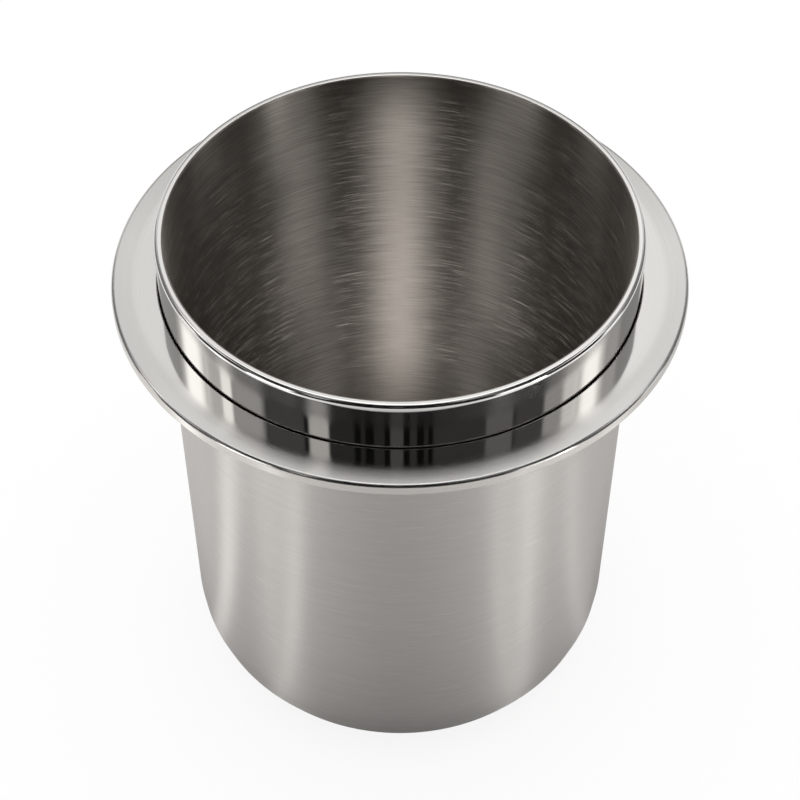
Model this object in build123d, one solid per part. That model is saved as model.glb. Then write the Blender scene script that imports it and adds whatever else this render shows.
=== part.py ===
from build123d import *
import math
import os

# A dosing cup of stainless steel: a deep drawn shell with a flat ring fixed below its mouth.
# The neck above the ring enters a filter basket, and the basket's rim stops on the ring.
# The shell is drawn from one round blank. Its neck and base keep the thickness of the sheet,
# and the wall between them is ironed thinner, which leaves a small shoulder under the neck.
# The ring is pressed up the wall from below until its recess seats on that shoulder.
# The neck's foot tapers in, so that a basket's sharp inner edge still comes down on the ring.
# The origin is the middle of the base, where the cup stands, and +Z leaves by the mouth.
# All sizes are in millimetres.

# Shell
cup_height = 74.0            # from the base to the lip
neck_diameter = 58.3         # outside of the polished neck
neck_height = 6.7            # from the lip down to the ring's top face
sheet_thickness = 1.1        # neck and base
wall_thickness = 0.65        # ironed wall below the neck
wall_draft = 0.5             # degrees by which the wall narrows towards the base
foot_taper_height = 0.85     # tapered foot of the neck, up from the shoulder
foot_taper_inset = 0.2       # how far the foot tapers in
bottom_radius = 12.0         # outside, between the wall and the base
lip_outer_bevel = 0.5        # broken edges of the trimmed lip
lip_inner_bevel = 0.25

# Ring
ledge_width = 5.65           # from the neck out to the ring's edge
ring_thickness = 1.5
ring_top_bevel = 0.25        # round the top face
ring_bottom_bevel = 0.2      # round the underside
recess_depth = 0.6           # the neck's shoulder sits this far below the top face
recess_clearance = 0.25      # open groove between the neck and the recess
recess_bevel = 0.1           # broken edge of the groove

# Levels, up from the base
ring_top = cup_height - neck_height
ring_bottom = ring_top - ring_thickness
shoulder_level = ring_top - recess_depth

# Radii, out from the axis
neck_radius = neck_diameter / 2
mouth_radius = neck_radius - sheet_thickness
ring_radius = neck_radius + ledge_width
recess_radius = neck_radius + recess_clearance
draft_slope = math.tan(math.radians(wall_draft))


def inside_radius(level):
    """Radius of the cup's inside, which narrows evenly from the lip down."""
    return mouth_radius - draft_slope * (cup_height - level)


# The ring's bore and the straight band of the shell that it grips share one radius.
seat_radius = inside_radius(shoulder_level) + wall_thickness


def corner_at(section, point):
    """The section's corner at a (radius, level) point."""
    radius, level = point
    return section.vertices().sort_by_distance((radius, level, 0))[0]


def turned(outline, rounded, bevelled):
    """Solid of revolution from (radius, level) points, with some corners rounded or bevelled."""
    section = make_face(Polyline(*outline, close=True))
    for point, corner_radius in rounded:
        section = fillet(corner_at(section, point), corner_radius)
    for point, width in bevelled:
        section = chamfer(corner_at(section, point), width)
    return revolve(Plane.XZ * section, Axis.Z)


def cup_shell():
    """Drawn shell: one sheet from the lip, down the wall and round the bottom radius to the base."""
    wall_foot = (seat_radius - draft_slope * ring_bottom, 0)
    floor_corner = (inside_radius(sheet_thickness), sheet_thickness)
    lip_outside = (neck_radius, cup_height)
    lip_inside = (mouth_radius, cup_height)
    outline = [
        (0, 0),
        wall_foot,
        (seat_radius, ring_bottom),
        (seat_radius, shoulder_level),
        (neck_radius - foot_taper_inset, shoulder_level),
        (neck_radius, shoulder_level + foot_taper_height),
        lip_outside,
        lip_inside,
        floor_corner,
        (0, sheet_thickness),
    ]
    rounded = [
        (wall_foot, bottom_radius),
        (floor_corner, bottom_radius - wall_thickness),
    ]
    bevelled = [
        (lip_outside, lip_outer_bevel),
        (lip_inside, lip_inner_bevel),
    ]
    return turned(outline, rounded, bevelled)


def flange_ring():
    """Flat ring with a shallow recess in its top face, wider than the neck that it takes."""
    top_edge = (ring_radius, ring_top)
    bottom_edge = (ring_radius, ring_bottom)
    recess_edge = (recess_radius, ring_top)
    outline = [
        (seat_radius, ring_bottom),
        bottom_edge,
        top_edge,
        recess_edge,
        (recess_radius, shoulder_level),
        (seat_radius, shoulder_level),
    ]
    bevelled = [
        (top_edge, ring_top_bevel),
        (bottom_edge, ring_bottom_bevel),
        (recess_edge, recess_bevel),
    ]
    return turned(outline, [], bevelled)


os.makedirs("parts", exist_ok=True)
export_step(cup_shell(), "parts/cup_shell.step")
export_step(flange_ring(), "parts/flange_ring.step")
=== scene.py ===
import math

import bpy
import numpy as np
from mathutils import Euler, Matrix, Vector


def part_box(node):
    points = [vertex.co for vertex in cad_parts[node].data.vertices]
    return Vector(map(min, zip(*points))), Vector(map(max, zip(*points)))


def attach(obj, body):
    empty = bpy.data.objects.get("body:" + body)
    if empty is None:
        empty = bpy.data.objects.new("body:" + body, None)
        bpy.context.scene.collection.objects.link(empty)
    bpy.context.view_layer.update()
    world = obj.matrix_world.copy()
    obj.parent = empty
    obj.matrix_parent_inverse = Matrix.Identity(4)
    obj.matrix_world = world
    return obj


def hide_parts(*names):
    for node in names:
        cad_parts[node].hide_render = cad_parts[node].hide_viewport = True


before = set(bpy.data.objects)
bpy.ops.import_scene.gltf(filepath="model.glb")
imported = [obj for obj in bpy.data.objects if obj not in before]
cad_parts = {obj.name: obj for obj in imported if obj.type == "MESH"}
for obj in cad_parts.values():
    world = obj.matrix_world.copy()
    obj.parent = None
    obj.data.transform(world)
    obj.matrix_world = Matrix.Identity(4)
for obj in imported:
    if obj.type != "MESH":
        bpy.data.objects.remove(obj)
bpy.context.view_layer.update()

# %% [markdown]
# A steel dosing cup: a drawn shell with a polished neck, and a flat ring fixed below its mouth.
# Everything here is round, so each piece is one profile turned about the Z axis. Metal has
# almost no colour of its own: what the eye sees is the studio mirrored in it. So half of the
# work is the shape and the grain of the metal, and the other half is what stands round it. The
# main sizes are read from the CAD model, so the dressed cup is exactly as large as the solid one.

MM = 0.001

shell_low, shell_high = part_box("cup_shell")
ring_low, ring_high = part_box("flange_ring")
NECK_RADIUS = shell_high.x
CUP_HEIGHT = shell_high.z
RING_RADIUS = ring_high.x
RING_TOP = ring_high.z
RING_BOTTOM = ring_low.z
print("neck radius", NECK_RADIUS, "height", CUP_HEIGHT, "ring", RING_RADIUS, RING_BOTTOM, RING_TOP)

# %% [markdown]
# The camera comes first, because it decides how much detail each surface needs. It looks down
# into the mouth from about 24 cm. It could be turned by eye until the picture fits, but a longer
# lens and a larger distance look nearly alike. So lens, distance and angles were worked out
# together from the outlines of rim, ring and body.

# %% The camera at the photograph's view
PHOTO_SIZE = 800                  # pixels
FOCAL_PIXELS = 2019               # how many pixels one radian covers near the middle
SENSOR = 36                       # millimetres
RIM_DISTANCE = 239.94 * MM        # from the middle of the mouth to the camera
RIM_ELEVATION = math.radians(42.66)
LOOK_DOWN = math.radians(47.61)

camera_data = bpy.data.cameras.new("camera")
camera_data.sensor_width = SENSOR
camera_data.lens = FOCAL_PIXELS / PHOTO_SIZE * SENSOR
camera_data.clip_start = 10 * MM
camera = bpy.data.objects.new("camera", camera_data)
bpy.context.scene.collection.objects.link(camera)
toward_camera = Vector((0, -math.cos(RIM_ELEVATION), math.sin(RIM_ELEVATION)))
camera.location = Vector((0, 0, CUP_HEIGHT)) + RIM_DISTANCE * toward_camera
camera.rotation_euler = Euler((math.radians(90) - LOOK_DOWN, 0, 0))
bpy.context.scene.camera = camera
print("camera at", tuple(camera.location), "lens", camera_data.lens)

# %% [markdown]
# A profile is a list of corners, (radius, level, rounding). Even a sharp edge on real metal is
# broken a little, and that tiny arc is what catches a line of light, so every corner gets one.
# A Bevel modifier could round them as well. Here each arc is worked out from the two lines that
# meet there, because then its radius is the one written in the list. A holding point a little
# before and after each arc keeps its smooth shading from bleeding into the flat next to it.

# %% A profile with rounded corners
ARC_STEPS = 8
HOLD = 0.12                       # holding points stand this share of the radius beyond the arc


def rounded_corner(before, corner, after, radius, steps=ARC_STEPS):
    """Points of the arc of this radius that touches both lines at the corner.

    The arc's middle lies on the line that halves the corner's angle, radius / sin(half angle)
    from the corner. The points turn about that middle by equal steps, between two holding points.
    """
    corner = np.array(corner, float)
    to_before = np.array(before, float) - corner
    to_after = np.array(after, float) - corner
    to_before /= np.linalg.norm(to_before)
    to_after /= np.linalg.norm(to_after)
    half = 0.5 * math.acos(np.clip(to_before @ to_after, -1, 1))
    halving = to_before + to_after
    halving /= np.linalg.norm(halving)
    middle = corner + halving * radius / math.sin(half)
    reach = radius / math.tan(half)
    start = corner + to_before * reach - middle
    end = corner + to_after * reach - middle
    turn = np.linspace(0, 1, steps + 1)[:, None]
    sweep = math.pi - 2 * half
    arc = (np.sin((1 - turn) * sweep) * start + np.sin(turn * sweep) * end) / math.sin(sweep)
    first = corner + to_before * (reach + HOLD * radius)
    last = corner + to_after * (reach + HOLD * radius)
    return np.vstack([first, middle + arc, last])


def profile_line(corners):
    """The whole profile from its corners (radius, level, rounding): an arc at each rounded one."""
    places = [corner[:2] for corner in corners]
    parts = [np.array([places[0]])]
    for before, (radius, level, rounding), after in zip(places, corners[1:-1], places[2:]):
        parts.append(rounded_corner(before, (radius, level), after, rounding))
    parts.append(np.array([places[-1]]))
    return np.vstack(parts)


print("a rounded corner has", len(rounded_corner((0, 0), (2, 0), (2, 2), 1)), "points")

# %% [markdown]
# A lathe or a press makes a round piece, and Blender's Screw modifier would turn its profile
# too. Here turning is one array product, each profile point with each angle, because then every
# step of the profile can have a finish of its own. The grain of turned metal follows the circles,
# so the mesh also carries a UV map, U along the profile and V round the axis, in millimetres.
# The shaders read it to know which way the tool ran.

# %% A profile turned about the Z axis
TURN_STEPS = 360
V_RADIUS = 10                     # millimetres, so V has one scale all the way along the profile
V_STEP = 2 * math.pi / TURN_STEPS * V_RADIUS


def turned_mesh(name, profile, bands, closed):
    """Surface of revolution: point(i, a) = (r_i cos a, r_i sin a, z_i).

    i is any point of the profile, a any angle. U is the length along the profile up to
    point i, V the angle times V_RADIUS.
    bands gives each profile step its material. closed joins the profile's end to its start;
    otherwise its ends lie on the axis, and one point there closes the surface.
    """
    if closed:
        profile = np.vstack([profile, profile[:1]])
    count = len(profile)
    angle = np.arange(TURN_STEPS) * 2 * math.pi / TURN_STEPS
    r, z = profile[:, 0], profile[:, 1]
    grid = np.stack([np.outer(r, np.cos(angle)), np.outer(r, np.sin(angle)),
                     np.outer(z, np.ones(TURN_STEPS))], axis=-1)
    along = np.concatenate([[0], np.cumsum(np.hypot(np.diff(r), np.diff(z)))]) / MM
    index = np.arange(count)[:, None] * TURN_STEPS + np.arange(TURN_STEPS)[None, :]
    if closed:
        index[-1] = index[0]
    i, j = np.meshgrid(np.arange(count - 1), np.arange(TURN_STEPS), indexing="ij")
    k = (j + 1) % TURN_STEPS
    faces = np.stack([index[i, j], index[i, k], index[i + 1, k], index[i + 1, j]], axis=-1)
    faces = faces.reshape(-1, 4)
    u = np.stack([along[i], along[i], along[i + 1], along[i + 1]], axis=-1).reshape(-1, 4)
    v = np.stack([j, j + 1, j + 1, j], axis=-1).reshape(-1, 4) * V_STEP
    keep = np.ones(count * TURN_STEPS, bool)
    if closed:
        keep[-TURN_STEPS:] = False
    else:
        for row in (0, count - 1):
            centre = row * TURN_STEPS
            faces[(faces >= centre) & (faces < centre + TURN_STEPS)] = centre
            keep[centre + 1:centre + TURN_STEPS] = False
    new_index = np.cumsum(keep) - 1
    faces = new_index[faces]
    corners_differ = faces != np.roll(faces, 1, axis=1)
    sizes = corners_differ.sum(axis=1)
    starts = np.concatenate([[0], np.cumsum(sizes)[:-1]])
    mesh = bpy.data.meshes.new(name)
    mesh.vertices.add(int(keep.sum()))
    mesh.vertices.foreach_set("co", grid.reshape(-1, 3)[keep].astype(np.float32).ravel())
    mesh.loops.add(int(sizes.sum()))
    mesh.loops.foreach_set("vertex_index", faces[corners_differ].astype(np.int32))
    mesh.polygons.add(len(sizes))
    mesh.polygons.foreach_set("loop_start", starts.astype(np.int32))
    mesh.polygons.foreach_set("material_index", np.repeat(bands, TURN_STEPS).astype(np.int32))
    mesh.polygons.foreach_set("use_smooth", np.ones(len(sizes), bool))
    layer = mesh.uv_layers.new(name="grain")
    uv = np.stack([u[corners_differ], v[corners_differ]], axis=-1)
    layer.uv.foreach_set("vector", uv.astype(np.float32).ravel())
    mesh.update(calc_edges=True)
    mesh.validate()
    piece = bpy.data.objects.new(name, mesh)
    bpy.context.scene.collection.objects.link(piece)
    print(name, "has", len(mesh.polygons), "faces")
    return piece


def step_middles(profile):
    """Radius and level of the middle of each step of a profile: the mean of its two ends."""
    return ((profile[1:] + profile[:-1]) / 2).T


print(TURN_STEPS, "steps round, on the ring", 2 * math.pi * RING_RADIUS / TURN_STEPS / MM, "mm")

# %% [markdown]
# The shell is one sheet, drawn from a disc and then ironed, which leaves the wall thinner than
# the neck and the base. Outside it runs from the base round the bottom radius, up the wall, over
# the shoulder hidden in the ring and up the neck. Over the lip it turns back down the brushed
# inside to the floor. The wall narrows by half a degree, as a drawn cup does. A single surface
# thickened by a Solidify modifier would give one thickness only, so both sides are drawn here.

# %% The shell's sizes
SHEET = 1.1 * MM                  # neck and base
WALL = 0.65 * MM                  # ironed wall
DRAFT = math.tan(math.radians(0.5))
BOTTOM_RADIUS = 12 * MM
SHOULDER = RING_TOP - 0.6 * MM    # where the neck's foot rests in the ring's recess
FOOT_HEIGHT = 0.6 * MM            # the foot tapers in below the level of the ring's top
FOOT_INSET = 0.2 * MM
LIP_OUTSIDE = 0.5 * MM            # the trimmed lip is rounded most on the outside
LIP_INSIDE = 0.3 * MM
FINE = 0.05 * MM                  # an edge that is only just broken


def inside_radius(level):
    """Radius of the inside, which narrows evenly from the lip down."""
    return NECK_RADIUS - SHEET - DRAFT * (CUP_HEIGHT - level)


seat_radius = inside_radius(SHOULDER) + WALL
foot_radius = seat_radius - DRAFT * RING_BOTTOM
print("seat radius", seat_radius / MM, "mm, foot radius", foot_radius / MM, "mm")

# %% [markdown]
# Each step of the profile also gets its finish. The brush that ran round the inside went over
# the lip's inner arc as well, so a soft grey edge lies between the white lip and the dark inside.

# %% The shell
outside = profile_line([
    (0, 0, 0),
    (foot_radius, 0, BOTTOM_RADIUS),
    (seat_radius, RING_BOTTOM, FINE),
    (seat_radius, SHOULDER, FINE),
    (NECK_RADIUS - FOOT_INSET, SHOULDER, FINE),
    (NECK_RADIUS, SHOULDER + FOOT_HEIGHT, FINE),
    (NECK_RADIUS, CUP_HEIGHT, LIP_OUTSIDE),
    (inside_radius(CUP_HEIGHT), CUP_HEIGHT, LIP_INSIDE),
    (inside_radius(SHEET), SHEET, BOTTOM_RADIUS - WALL),
    (0, SHEET, 0),
])
SHELL_SATIN, SHELL_POLISHED, SHELL_BRUSHED, SHELL_GROOVE, SHELL_LIP = range(5)
BRUSH_REACH = 0.1 * LIP_INSIDE    # the brush stops this far below the top of the lip

mid_r, mid_z = step_middles(outside)
past_lip = np.arange(len(mid_r)) > int(np.argmax(outside[:, 1]))
is_inside = past_lip & (mid_z < CUP_HEIGHT - BRUSH_REACH)
is_neck = ~is_inside & (mid_r > seat_radius) & (mid_z > SHOULDER - FINE)
# The neck's foot below the ring's top gets the near-black groove steel, a painted shade.
is_groove = is_neck & (mid_z < RING_TOP)
is_lip = ~is_inside & (mid_z > CUP_HEIGHT - LIP_OUTSIDE)
shell_bands = np.select([is_inside, is_groove, is_lip, is_neck],
                        [SHELL_BRUSHED, SHELL_GROOVE, SHELL_LIP, SHELL_POLISHED], SHELL_SATIN)
print("profile points", len(outside))
shell = turned_mesh("drawn_shell", outside, shell_bands, closed=False)

# %% [markdown]
# The ring is a piece of its own, flat, with a recess for the neck's foot. It could be drawn as
# one with the shell, but the hair-thin black gap of the recess, and beside it the light line of
# its broken edge, are what tell the eye that two pieces meet here. Both are helped by painted
# colour: a painted shade in the recess and a painted highlight on the bevel.

# %% The ring
EDGE_TOP = 0.45 * MM
EDGE_BOTTOM = 0.25 * MM
RECESS_RADIUS = NECK_RADIUS + 0.14 * MM   # the neck mirrors this gap, so it looks twice as wide
BEVEL_WIDTH = 0.12 * MM           # shallow bevel round the recess
BEVEL_DEPTH = FINE
BEVEL_ROUNDING = 0.5 * FINE
GROOVE_TOP = RING_TOP - 1.2 * BEVEL_DEPTH         # just below the bevel
RIM_FINISH = RING_RADIUS - 0.3 * EDGE_BOTTOM      # from here outwards the rim's duller finish
RING_FACED, RING_EDGE, RING_GROOVE, RING_BEVEL = range(4)

ring_profile = profile_line([
    (seat_radius, RING_BOTTOM, 0),
    (RING_RADIUS, RING_BOTTOM, EDGE_BOTTOM),
    (RING_RADIUS, RING_TOP, EDGE_TOP),
    (RECESS_RADIUS + BEVEL_WIDTH, RING_TOP, BEVEL_ROUNDING),
    (RECESS_RADIUS, RING_TOP - BEVEL_DEPTH, BEVEL_ROUNDING),
    (RECESS_RADIUS, SHOULDER, FINE),
    (seat_radius, SHOULDER, 0),
])
mid_r, mid_z = step_middles(np.vstack([ring_profile, ring_profile[:1]]))
is_edge = mid_r > RIM_FINISH
is_bevel = mid_r < RECESS_RADIUS + BEVEL_WIDTH
in_recess = (mid_z > RING_BOTTOM + FINE) & (mid_z < GROOVE_TOP)
# The recess walls get the near-black groove steel, a painted shade.
is_groove = in_recess & (mid_r < RECESS_RADIUS + FINE)
ring_bands = np.select([is_groove, is_edge, is_bevel],
                       [RING_GROOVE, RING_EDGE, RING_BEVEL], RING_FACED)
ring = turned_mesh("flat_ring", ring_profile, ring_bands, closed=True)

# %% [markdown]
# Colours are written as they look on a screen and turned to linear light by one function. One
# more function adds a shader node with its settings and its links, so each finish reads as a
# short list.

# %% Colour and node helpers
WHITE = (1, 1, 1, 1)              # the same in both kinds of light


def linear(hex_colour):
    """Linear RGBA from an sRGB hex colour: each channel through the standard's curve."""
    channels = np.array([int(hex_colour[k:k + 2], 16) for k in (1, 3, 5)]) / 255
    low = channels / 12.92
    high = ((channels + 0.055) / 1.055) ** 2.4
    return (*np.where(channels <= 0.04045, low, high), 1.0)


def add_node(tree, kind, settings=None, **inputs):
    """A new node: settings are its own properties, inputs are numbers or sockets to link.

    An input is given by its name, with _ for a space, or as slot_N by its number.
    """
    node = tree.nodes.new(kind)
    for key, value in (settings or {}).items():
        setattr(node, key, value)
    for key, value in inputs.items():
        name = int(key[5:]) if key.startswith("slot_") else key.replace("_", " ")
        socket = node.inputs[name]
        if isinstance(value, bpy.types.NodeSocket):
            tree.links.new(value, socket)
        else:
            socket.default_value = value
    return node


def maths(tree, operation, *values):
    """The result of one step of arithmetic on numbers or sockets."""
    slots = {f"slot_{number}": value for number, value in enumerate(values)}
    return add_node(tree, "ShaderNodeMath", {"operation": operation}, **slots).outputs[0]


def soft_step(tree, value, start, end, before, after):
    """before up to start, after from end on, and a smooth S-curve between."""
    return add_node(tree, "ShaderNodeMapRange", {"interpolation_type": "SMOOTHSTEP"}, Value=value,
                    From_Min=start, From_Max=end, To_Min=before, To_Max=after).outputs[0]


def new_material(name):
    """An empty node material, its tree and its Principled shader wired to the output."""
    material = bpy.data.materials.new(name)
    material.use_nodes = True
    tree = material.node_tree
    tree.nodes.clear()
    shader = add_node(tree, "ShaderNodeBsdfPrincipled")
    add_node(tree, "ShaderNodeOutputMaterial", Surface=shader.outputs["BSDF"])
    return material, tree, shader


print("the middle grey of a screen is", linear("#808080")[0], "of white in linear light")

# %% [markdown]
# The grain needs a place to be worked out from. An image of scratches wrapped round the cup would
# show a seam and an end. Noise that changes quickly across the circles and slowly along them has
# neither, and its streaks keep one width in millimetres on every piece.

# %% Where a point lies in the grain


def grain_place(tree, across_mm, along_mm):
    """A place in the grain: x and y change slowly along the circles, the third quickly across them.

    x and y come from Object coordinates, so the grain has no seam. The third is U of the map.
    """
    place = add_node(tree, "ShaderNodeTexCoord")
    xyz = add_node(tree, "ShaderNodeSeparateXYZ", Vector=place.outputs["Object"])
    grain = add_node(tree, "ShaderNodeUVMap", {"uv_map": "grain"})
    uv = add_node(tree, "ShaderNodeSeparateXYZ", Vector=grain.outputs["UV"])
    x = maths(tree, "MULTIPLY", xyz.outputs["X"], 1 / (along_mm * MM))
    y = maths(tree, "MULTIPLY", xyz.outputs["Y"], 1 / (along_mm * MM))
    across = maths(tree, "MULTIPLY", uv.outputs["X"], 1 / across_mm)
    return add_node(tree, "ShaderNodeCombineXYZ", X=x, Y=y, Z=across).outputs[0]


# %% [markdown]
# Every finish here is the same stainless steel, and mostly only the tool that made it differs:
# the lip and the bevel also carry painted highlight in their colours, the inside painted shade,
# and the groove's near black is painted shade. A tool that runs round the axis leaves grooves
# along the circles: light spreads widely across them and hardly along them. Real grooves in the
# mesh would be far too many. Anisotropic gives their effect, with the tangent along U, across the
# grooves. A second, sparser noise draws single hairlines. There the surface is rougher and a
# little lighter.

# %% One steel, with the tool's marks
DARKEST, LIGHTEST = 0.3, 0.7      # levels of the noise in the darkest and the lightest streak
LINE_START, LINE_END = 0.7, 0.8   # a hairline comes up between these levels of its own noise
LINE_SHIFT = 0.2                  # and up to this much lower, for more of them


def steel(name, colour, shade, roughness, anisotropic, grain_mm, hairlines=None, depth=0.0):
    """Steel with a tool's grain.

    colour and shade are the lightest and darkest streak. grain_mm is (width, length) of a streak.
    hairlines is (width, length, how many from 0 to 1, colour, roughness, anisotropy). depth is
    the grooves' height in millimetres.
    """
    material, tree, shader = new_material(name)
    shader.inputs["Metallic"].default_value = 1
    shader.inputs["Roughness"].default_value = roughness
    shader.inputs["Anisotropic"].default_value = anisotropic
    if anisotropic:
        tangent = add_node(tree, "ShaderNodeTangent",
                           {"direction_type": "UV_MAP", "uv_map": "grain"})
        tree.links.new(tangent.outputs[0], shader.inputs["Tangent"])
    streaks = add_node(tree, "ShaderNodeTexNoise", Vector=grain_place(tree, *grain_mm),
                       Scale=1.0, Detail=3.0, Roughness=0.55).outputs[0]
    share = add_node(tree, "ShaderNodeMapRange", Value=streaks,
                     From_Min=DARKEST, From_Max=LIGHTEST).outputs[0]
    tint = add_node(tree, "ShaderNodeMix", {"data_type": "RGBA"}, slot_0=share,
                    slot_6=linear(shade), slot_7=linear(colour))
    if hairlines:
        width, length, many, line_colour, line_roughness, line_anisotropic = hairlines
        lines = add_node(tree, "ShaderNodeTexNoise", Vector=grain_place(tree, width, length),
                         Scale=1.0, Detail=1.0, Roughness=0.5)
        line = add_node(tree, "ShaderNodeMapRange", Value=lines.outputs[0],
                        From_Min=LINE_START - LINE_SHIFT * many,
                        From_Max=LINE_END - LINE_SHIFT * many).outputs[0]
        tint = add_node(tree, "ShaderNodeMix", {"data_type": "RGBA"}, slot_0=line,
                        slot_6=tint.outputs[2], slot_7=linear(line_colour))
        for socket, plain, on_line in (("Roughness", roughness, line_roughness),
                                       ("Anisotropic", anisotropic, line_anisotropic)):
            if on_line != plain:
                mapped = add_node(tree, "ShaderNodeMapRange", Value=line,
                                  To_Min=plain, To_Max=on_line)
                tree.links.new(mapped.outputs[0], shader.inputs[socket])
    tree.links.new(tint.outputs[2], shader.inputs["Base Color"])
    if depth:
        bump = add_node(tree, "ShaderNodeBump", Height=streaks, Strength=1.0, Distance=depth * MM)
        tree.links.new(bump.outputs[0], shader.inputs["Normal"])
    print(name, "has", len(tree.nodes), "nodes")
    return material


# %% [markdown]
# Each finish is one call, with what the eye sees of it written above. Real grooves are 0.01 to
# 0.05 mm apart. They are drawn 0.07 to 0.3 mm wide, from half a pixel to two pixels, because
# finer ones would not show at all.

# %% The eight finishes
# Wall outside, ironed through a die and turned with fine abrasive: soft and even, faint streaks.
satin = steel("satin_turned_stainless", "#d5d1cd", "#cecac6", 0.36, 0.95, (0.2, 6),
              hairlines=(0.15, 5, 0.25, "#e2ddd8", 0.42, 0.95), depth=0.0004)
# Neck: a mirror, black and white like the studio.
polished = steel("polished_stainless", "#dddbd8", "#d8d6d3", 0.035, 0.0, (0.3, 12))
# Inside, brushed more coarsely, its colour darker than the outside's steel, a painted shade: dark,
# with upright bands of light crossed by fine hairlines.
brushed = steel("brushed_inside_painted_shade", "#b9b2aa", "#928b84", 0.43, 1.0, (0.09, 7),
                hairlines=(0.065, 5, 0.45, "#cbc4bc", 0.8, 0.75), depth=0.0006)
# Ring's top, faced on a lathe: a near mirror, with the finest of circles.
faced = steel("faced_stainless", "#dedcd9", "#dbd9d6", 0.04, 1.0, (0.3, 20))
# Lip: the whitest line of the cup, its colour lighter than the other steel, a painted highlight.
lip = steel("turned_lip_painted_highlight", "#f0eeeb", "#e6e4e1", 0.11, 0.9, (0.15, 8))
# Ring's rim: duller than its top, a soft light band.
edge = steel("turned_edge_stainless", "#d8d4cf", "#d1cdc8", 0.25, 0.5, (0.2, 12))
# Bevel round the recess: matt, and its colour lighter than the other steel, a painted highlight, so
# that it is light wherever it is seen from.
bevel = steel("broken_edge_painted_highlight", "#ece8e3", "#e0dcd7", 0.6, 0.0, (0.2, 12))
# Recess and the neck's foot: nearly black steel, a painted shade where light does not get in.
groove = steel("groove_painted_shade", "#4a4642", "#3c3835", 0.6, 0.0, (0.2, 6))

for material in (satin, polished, brushed, groove, lip):          # in the order of SHELL_SATIN ...
    shell.data.materials.append(material)
for material in (faced, edge, groove, bevel):                     # in the order of RING_FACED ...
    ring.data.materials.append(material)

# %% [markdown]
# The wheel that polished the ring's top reached its inner part best. Towards the edge a haze
# comes up: there the mirror is blurred along the radius, and the light card above the lip glows
# in it. Two materials would meet in a hard line, so the roughness of one material grows with the
# distance from the axis.

# %% The ring's top grows hazy outwards
CLEAR_RADIUS, HAZY_RADIUS = 31.0 * MM, 32.8 * MM
CLEAR, HAZY = 0.04, 0.16

tree = faced.node_tree
place = add_node(tree, "ShaderNodeTexCoord").outputs["Object"]
level_place = add_node(tree, "ShaderNodeVectorMath", {"operation": "MULTIPLY"},
                       slot_0=place, slot_1=(1, 1, 0)).outputs[0]
from_axis = add_node(tree, "ShaderNodeVectorMath", {"operation": "LENGTH"},
                     slot_0=level_place).outputs["Value"]
haze = soft_step(tree, from_axis, CLEAR_RADIUS, HAZY_RADIUS, CLEAR, HAZY)
tree.links.new(haze, tree.nodes["Principled BSDF"].inputs["Roughness"])
print("roughness of the ring's top from", CLEAR, "to", HAZY)

# %% [markdown]
# These two surfaces are the dress of the CAD model's solids. Each is attached to the body it moves
# with, and the solid it stands for is hidden, so that the solid is swapped for it.

# %% What each piece stands for
for piece, node, slot in ((shell, "cup_shell", "shell_steel"), (ring, "flange_ring", "ring_steel")):
    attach(piece, "root")
    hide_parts(node)
    print(piece.name, "stands for", node)

# %% [markdown]
# A studio for metal is mostly light and dark cards. They could be planes standing in the scene,
# but then each would also light the others and cast shadows. Here they are painted by direction:
# an azimuth from the camera's side, right positive, and a height in degrees. The paper and the
# cards use the same three functions for it.

# %% Directions round the cup


def azimuth_of(tree, direction):
    """Degrees from the camera's side, right positive: atan2(x, -y) of a direction or place."""
    xyz = add_node(tree, "ShaderNodeSeparateXYZ", Vector=direction)
    front = maths(tree, "MULTIPLY", xyz.outputs["Y"], -1.0)
    return maths(tree, "DEGREES", maths(tree, "ARCTAN2", xyz.outputs["X"], front))


def within(tree, value, middle, half, soft):
    """1 where value is within half of middle, 0 outside, soft edges; angles wrap at 180 degrees."""
    apart = maths(tree, "SUBTRACT", value, float(middle))
    distance = maths(tree, "ABSOLUTE", maths(tree, "WRAP", apart, 180.0, -180.0))
    return soft_step(tree, distance, half - soft, half + soft, 1.0, 0.0)


def covered(tree, below, share, level, name):
    """Brightness with a card over it: level where share is 1, what is below where it is 0."""
    mix = add_node(tree, "ShaderNodeMix", {"data_type": "FLOAT", "label": name},
                   slot_0=share, slot_2=below, slot_3=level)
    return mix.outputs[0]


# %% [markdown]
# The cup stands on white paper. Lamps strong enough to make it quite white would also flood the
# metal. So for the camera most of the paper's light is its own glow, up to the edge of the
# picture, and the rest is plain paper, which keeps the cup's shadow.

# %% The paper as the camera sees it
FLOOR = 3.0
PAPER = -0.02 * MM                # just clear of the base, so the two do not share a plane
GLOW_SHARE = 0.8
GLOW = 1.04

floor_mesh = bpy.data.meshes.new("floor")
corners = [(-FLOOR, -FLOOR, PAPER), (FLOOR, -FLOOR, PAPER),
           (FLOOR, FLOOR, PAPER), (-FLOOR, FLOOR, PAPER)]
floor_mesh.from_pydata(corners, [], [(0, 1, 2, 3)])
floor = bpy.data.objects.new("floor", floor_mesh)
bpy.context.scene.collection.objects.link(floor)

paper = bpy.data.materials.new("white_paper")
paper.use_nodes = True
paper.cycles.emission_sampling = "NONE"
tree = paper.node_tree
tree.nodes.clear()
plain_paper = add_node(tree, "ShaderNodeBsdfDiffuse", Color=linear("#f4f4f4"))
glow = add_node(tree, "ShaderNodeEmission", Color=WHITE, Strength=GLOW)
path = add_node(tree, "ShaderNodeLightPath")
glow_share = maths(tree, "MULTIPLY", path.outputs["Is Camera Ray"], GLOW_SHARE)
seen = add_node(tree, "ShaderNodeMixShader", slot_0=glow_share,
                slot_1=plain_paper.outputs[0], slot_2=glow.outputs[0])
print("floor", 2 * FLOOR, "m square")

# %% [markdown]
# In the metal the paper looks as it would in the real studio: darker in front of the cup and
# round its foot, with a fan of light from each strip lamp. Seen from above, the satin wall
# mirrors the paper, blurred. So this draws the soft upright bands on the wall and darkens it
# towards the foot. Real strip lamps beside the cup would draw the fans too, with more noise.

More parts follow.
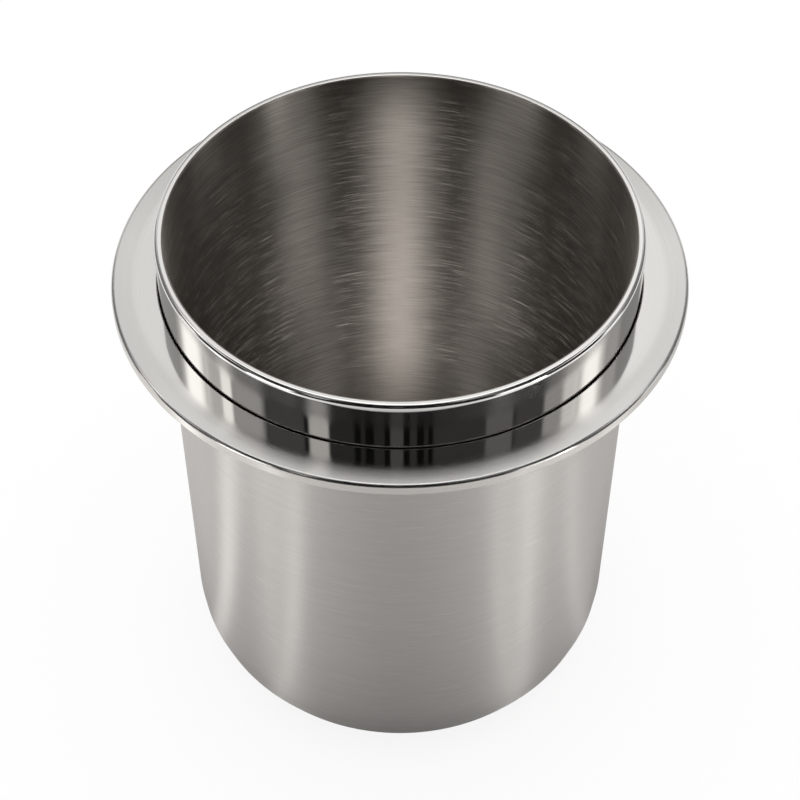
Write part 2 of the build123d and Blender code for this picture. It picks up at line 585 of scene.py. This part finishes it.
# %% The paper as the metal mirrors it
FRONT_LEVEL, SIDE_LEVEL = 0.63, 0.92
SIDE_AZIMUTH = 60.0               # from here on the paper is as bright as at the sides
FOOT_SHARE = 0.25                 # how much of that is left in the cup's own shade
SHADE_RADIUS, OPEN_RADIUS = 18 * MM, 70 * MM
FAR_LEVEL = 0.85                  # far out, where azimuth no longer matters
FAR_START, FAR_END = 150 * MM, 500 * MM

# (name, middle azimuth, half its width, soft edge, brightness)
FANS = [
    ("shade_right", 108, 20, 6.0, 0.74),
    ("fan_left", -43, 3, 3.0, 1.25),
    ("fan_far_left", -77, 4, 3.5, 1.75),
    ("fan_right", 40.5, 3, 3.0, 1.05),
    ("fan_far_right", 77, 4, 3.5, 1.18),
]
place = add_node(tree, "ShaderNodeTexCoord").outputs["Object"]
azimuth = azimuth_of(tree, place)
to_side = maths(tree, "ABSOLUTE", azimuth)
level = soft_step(tree, to_side, 0.0, SIDE_AZIMUTH, FRONT_LEVEL, SIDE_LEVEL)
for name, middle, half, soft, bright in FANS:
    level = covered(tree, level, within(tree, azimuth, middle, half, soft), bright, name)
distance = add_node(tree, "ShaderNodeVectorMath", {"operation": "LENGTH"},
                    slot_0=place).outputs["Value"]
open_share = soft_step(tree, distance, SHADE_RADIUS, OPEN_RADIUS, FOOT_SHARE, 1.0)
far_share = soft_step(tree, distance, FAR_START, FAR_END, 0.0, 1.0)
level = covered(tree, maths(tree, "MULTIPLY", level, open_share), far_share, FAR_LEVEL, "far_paper")
in_metal = add_node(tree, "ShaderNodeEmission", Color=WHITE, Strength=level)
both = add_node(tree, "ShaderNodeMixShader", slot_0=path.outputs["Is Glossy Ray"],
                slot_1=seen.outputs[0], slot_2=in_metal.outputs[0])
add_node(tree, "ShaderNodeOutputMaterial", Surface=both.outputs[0])
floor.data.materials.append(paper)
print(len(FANS), "fans of light on the paper")

# %% [markdown]
# Polished steel is photographed inside a ring of cards: white ones give the light bands, and the
# dark gaps between them give the black ones, without which steel looks like grey plastic. The
# cards stand in the world, far away, each between two heights. Later cards cover earlier ones.
#
# Which card a surface shows follows from its slope. The ring's flat top mirrors the back at 38 to
# 54 degrees. The upright neck mirrors the ring's top, and in it the sky at about 45 degrees: the
# neck's middle shows what stands in front of the cup, its sides what stands beside and behind.
# Rounded edges sweep through all heights, so they show the cards overhead and those low down.
# The paper is not lit by the cards: for that the world is one plain soft light.

# %% The cards round the cup
# (name, middle azimuth, half its width, lowest, highest, soft edge, brightness)
CARDS = [
    # high at the back, for the white line on the lip and the haze on the ring
    ("rear_shelf", 180, 52, 50, 58, 3.0, 0.90),
    ("rear_ceiling", 180, 32, 54, 84, 3.0, 1.50),
    # behind, as the neck's outermost sides show it
    ("rear_right", 140, 26, 41, 51, 2.0, 0.34),
    ("rear_left", -148, 18, 41, 51, 2.0, 0.42),
    # low down behind and beside, kept grey for the rounded edges and the inside near the lip
    ("rear_low", 180, 42, -8, 39, 3.0, 0.65),
    ("rear_low_middle", 180, 22, -8, 39, 4.0, 0.25),
    ("rear_side_right", 129, 11, -8, 39, 3.0, 0.18),
    ("rear_side_left", -129, 11, -8, 39, 3.0, 0.18),
    ("side_right", 106, 14, 12, 39, 2.0, 0.22),
    ("side_left", -106, 14, 12, 39, 2.0, 0.22),
    # the sheet that the ring's top mirrors
    ("rear_sheet", 180, 20, 38, 54, 4.0, 0.92),
    ("rear_sheet_right", 167, 8, 38, 54, 4.0, 1.02),
    # beside the cup, for the light bands at the neck's sides
    ("right_grey", 120, 8, 41, 51, 3.0, 0.52),
    ("right_wing", 80, 7, 41, 51, 1.5, 0.43),
    ("right_wing_inner", 90, 5, 41, 51, 2.0, 0.95),
    ("right_softbox", 104, 8, 41, 51, 5.0, 1.75),
    ("left_wing", -79, 10, 41, 51, 3.0, 0.47),
    ("left_middle", -100, 7, 41, 51, 1.0, 0.72),
    ("left_strip", -92, 3.5, 41, 51, 1.0, 1.45),
    ("left_softbox", -118, 10, 41, 51, 6.0, 1.80),
    # in front: the neck's middle is nearly black, with a few thin grey strips
    ("left_card", -39.5, 5, 38, 54, 1.0, 0.62),
    ("front_left_grey", -57, 10, 38, 54, 1.0, 0.08),
    ("front_right_grey", 65, 8, 38, 54, 2.0, 0.08),
    ("front_right_card", 48, 8, 38, 54, 1.0, 0.16),
    ("front_right_dim", 29, 13, 38, 54, 1.0, 0.048),
    ("thin_right", 12.6, 1.0, 38, 54, 0.4, 0.03),
    ("thin_middle_right", 6.4, 1.7, 38, 54, 0.4, 0.042),
    ("thin_middle", -1.5, 3.1, 38, 54, 0.5, 0.09),
    ("thin_middle_left", -9.9, 2.5, 38, 54, 0.5, 0.032),
    ("thin_left", -17.7, 1.1, 38, 54, 0.4, 0.028),
    ("front_left_dim", -28, 6, 38, 54, 1.0, 0.033),
    # high on both sides, for the rounded edges there
    ("top_right", 62, 18, 66, 78, 3.0, 0.65),
    ("top_left", -70, 10, 66, 78, 3.0, 0.80),
    # low on both sides: lamps whose long soft streaks brighten the satin wall and the inside
    ("low_left", -52, 8, -6, 26, 2.0, 2.00),
    ("low_right", 47, 7, -6, 26, 2.0, 1.50),
    ("low_side_left", -95, 5, -6, 12, 2.0, 1.50),
    ("low_side_right", 96, 6, -6, 12, 2.0, 1.50),
    ("strip_left", -60, 3, -6, 14, 1.0, 4.5),
    ("strip_right", 57, 2.5, -6, 16, 1.0, 11.0),
]
DARK_ROOM = 0.006                 # between the cards
SOFT_HEIGHT = 2.0                 # degrees over which a card's upper and lower edge fades

world = bpy.data.worlds.new("studio")
bpy.context.scene.world = world
world.use_nodes = True
world.cycles.sampling_method = "NONE"
tree = world.node_tree
tree.nodes.clear()
direction = add_node(tree, "ShaderNodeTexCoord").outputs["Generated"]
azimuth = azimuth_of(tree, direction)
up = add_node(tree, "ShaderNodeSeparateXYZ", Vector=direction).outputs["Z"]
height = maths(tree, "DEGREES", maths(tree, "ARCSINE", up))
brightness = DARK_ROOM
for name, middle, half, low, high, soft, bright in CARDS:
    sideways = within(tree, azimuth, middle, half, soft)
    upwards = within(tree, height, (low + high) / 2, (high - low) / 2, SOFT_HEIGHT)
    share = maths(tree, "MULTIPLY", sideways, upwards)
    brightness = covered(tree, brightness, share, bright, name)
mirrored = add_node(tree, "ShaderNodeBackground", Color=WHITE, Strength=brightness)
plain = add_node(tree, "ShaderNodeBackground", Color=WHITE, Strength=1.0)
path = add_node(tree, "ShaderNodeLightPath")
in_metal = maths(tree, "MAXIMUM",
                 path.outputs["Is Glossy Ray"], path.outputs["Is Transmission Ray"])
sky = add_node(tree, "ShaderNodeMixShader", slot_0=in_metal,
               slot_1=plain.outputs[0], slot_2=mirrored.outputs[0])
add_node(tree, "ShaderNodeOutputWorld", Surface=sky.outputs[0])
print(len(CARDS), "cards, brightest", max(card[-1] for card in CARDS))

# %% [markdown]
# The inside is lit on its own, by lamps with a tube in front that lets light only into the mouth.
# Those from over the camera draw the bright band down the far wall, and those from the sides the
# weaker bands beside it. A flat beam aimed far past the middle lights the upper wall, a steep
# one the lower wall. Brighter cards could do the same, but the neck would mirror them too. The
# beams miss the neck and the ring, so those stay black and white.

# %% The lamps that shine into the mouth
BEAM_DISTANCE = 600 * MM
BEAM_RADIUS = 16 * MM             # the mouth's own radius is 28 mm
LAMP_RADIUS = 4 * MM


def beam(name, azimuth, elevation, watts, beyond_mm):
    """A narrow lamp at an azimuth from the camera's side, aimed through the mouth at the far wall.

    beyond_mm is how far past the middle of the mouth it points.
    """
    data = bpy.data.lights.new(name, "SPOT")
    data.energy = watts
    data.shadow_soft_size = LAMP_RADIUS
    data.spot_size = 2 * math.atan(BEAM_RADIUS / BEAM_DISTANCE)
    data.spot_blend = 0.2
    a, e = math.radians(azimuth), math.radians(elevation)
    level_away = Vector((math.sin(a), -math.cos(a), 0))
    away = math.cos(e) * level_away + Vector((0, 0, math.sin(e)))
    aim = Vector((0, 0, CUP_HEIGHT)) - beyond_mm * MM * level_away
    light = bpy.data.objects.new(name, data)
    light.location = aim + BEAM_DISTANCE * away
    light.rotation_euler = away.to_track_quat("Z", "Y").to_euler()
    light.visible_camera = False
    bpy.context.scene.collection.objects.link(light)


# (name, azimuth, elevation, watts, aimed beyond the middle)
BEAMS = [
    # the bright middle band, upper and lower part
    ("front_upper_left", -10, 54, 2.15, 7),
    ("front_upper", 0, 54, 3.1, 7),
    ("front_upper_right", 10, 54, 2.05, 7),
    ("front_lower_left", -10, 70, 1.4, 2),
    ("front_lower", 0, 70, 1.2, 2),
    ("front_lower_right", 10, 70, 1.3, 2),
    # the band on the right, which mirrors lamps on the left
    ("side_left", -64, 57, 2.0, 6),
    ("side_left_upper", -49, 50, 1.75, 8),
    ("side_left_lower", -59, 67, 2.7, 2),
    ("side_left_lower_inner", -51, 67, 2.0, 2),
    ("side_left_far", -97, 56, 0.5, 6),
    # the band on the left, with a sharper strip near the lip
    ("side_right", 63, 57, 1.5, 6),
    ("side_right_upper", 49, 50, 1.1, 8),
    ("side_right_strip", 60, 50, 1.5, 9),
    ("side_right_lower", 60, 67, 2.7, 2),
    ("side_right_lower_inner", 52, 67, 2.0, 2),
    ("side_right_far", 104, 56, 0.3, 6),
    # a little light for the wall next to the camera, seen from behind
    ("rear", -170, 60, 0.35, 5),
]
for row in BEAMS:
    beam(*row)
print(len(BEAMS), "beams,", round(sum(row[3] for row in BEAMS), 2), "W in all")

# %% [markdown]
# The Standard view shows each colour as it is written, without a film's curve over it.

# %% Colour management and the end
bpy.context.scene.view_settings.view_transform = "Standard"
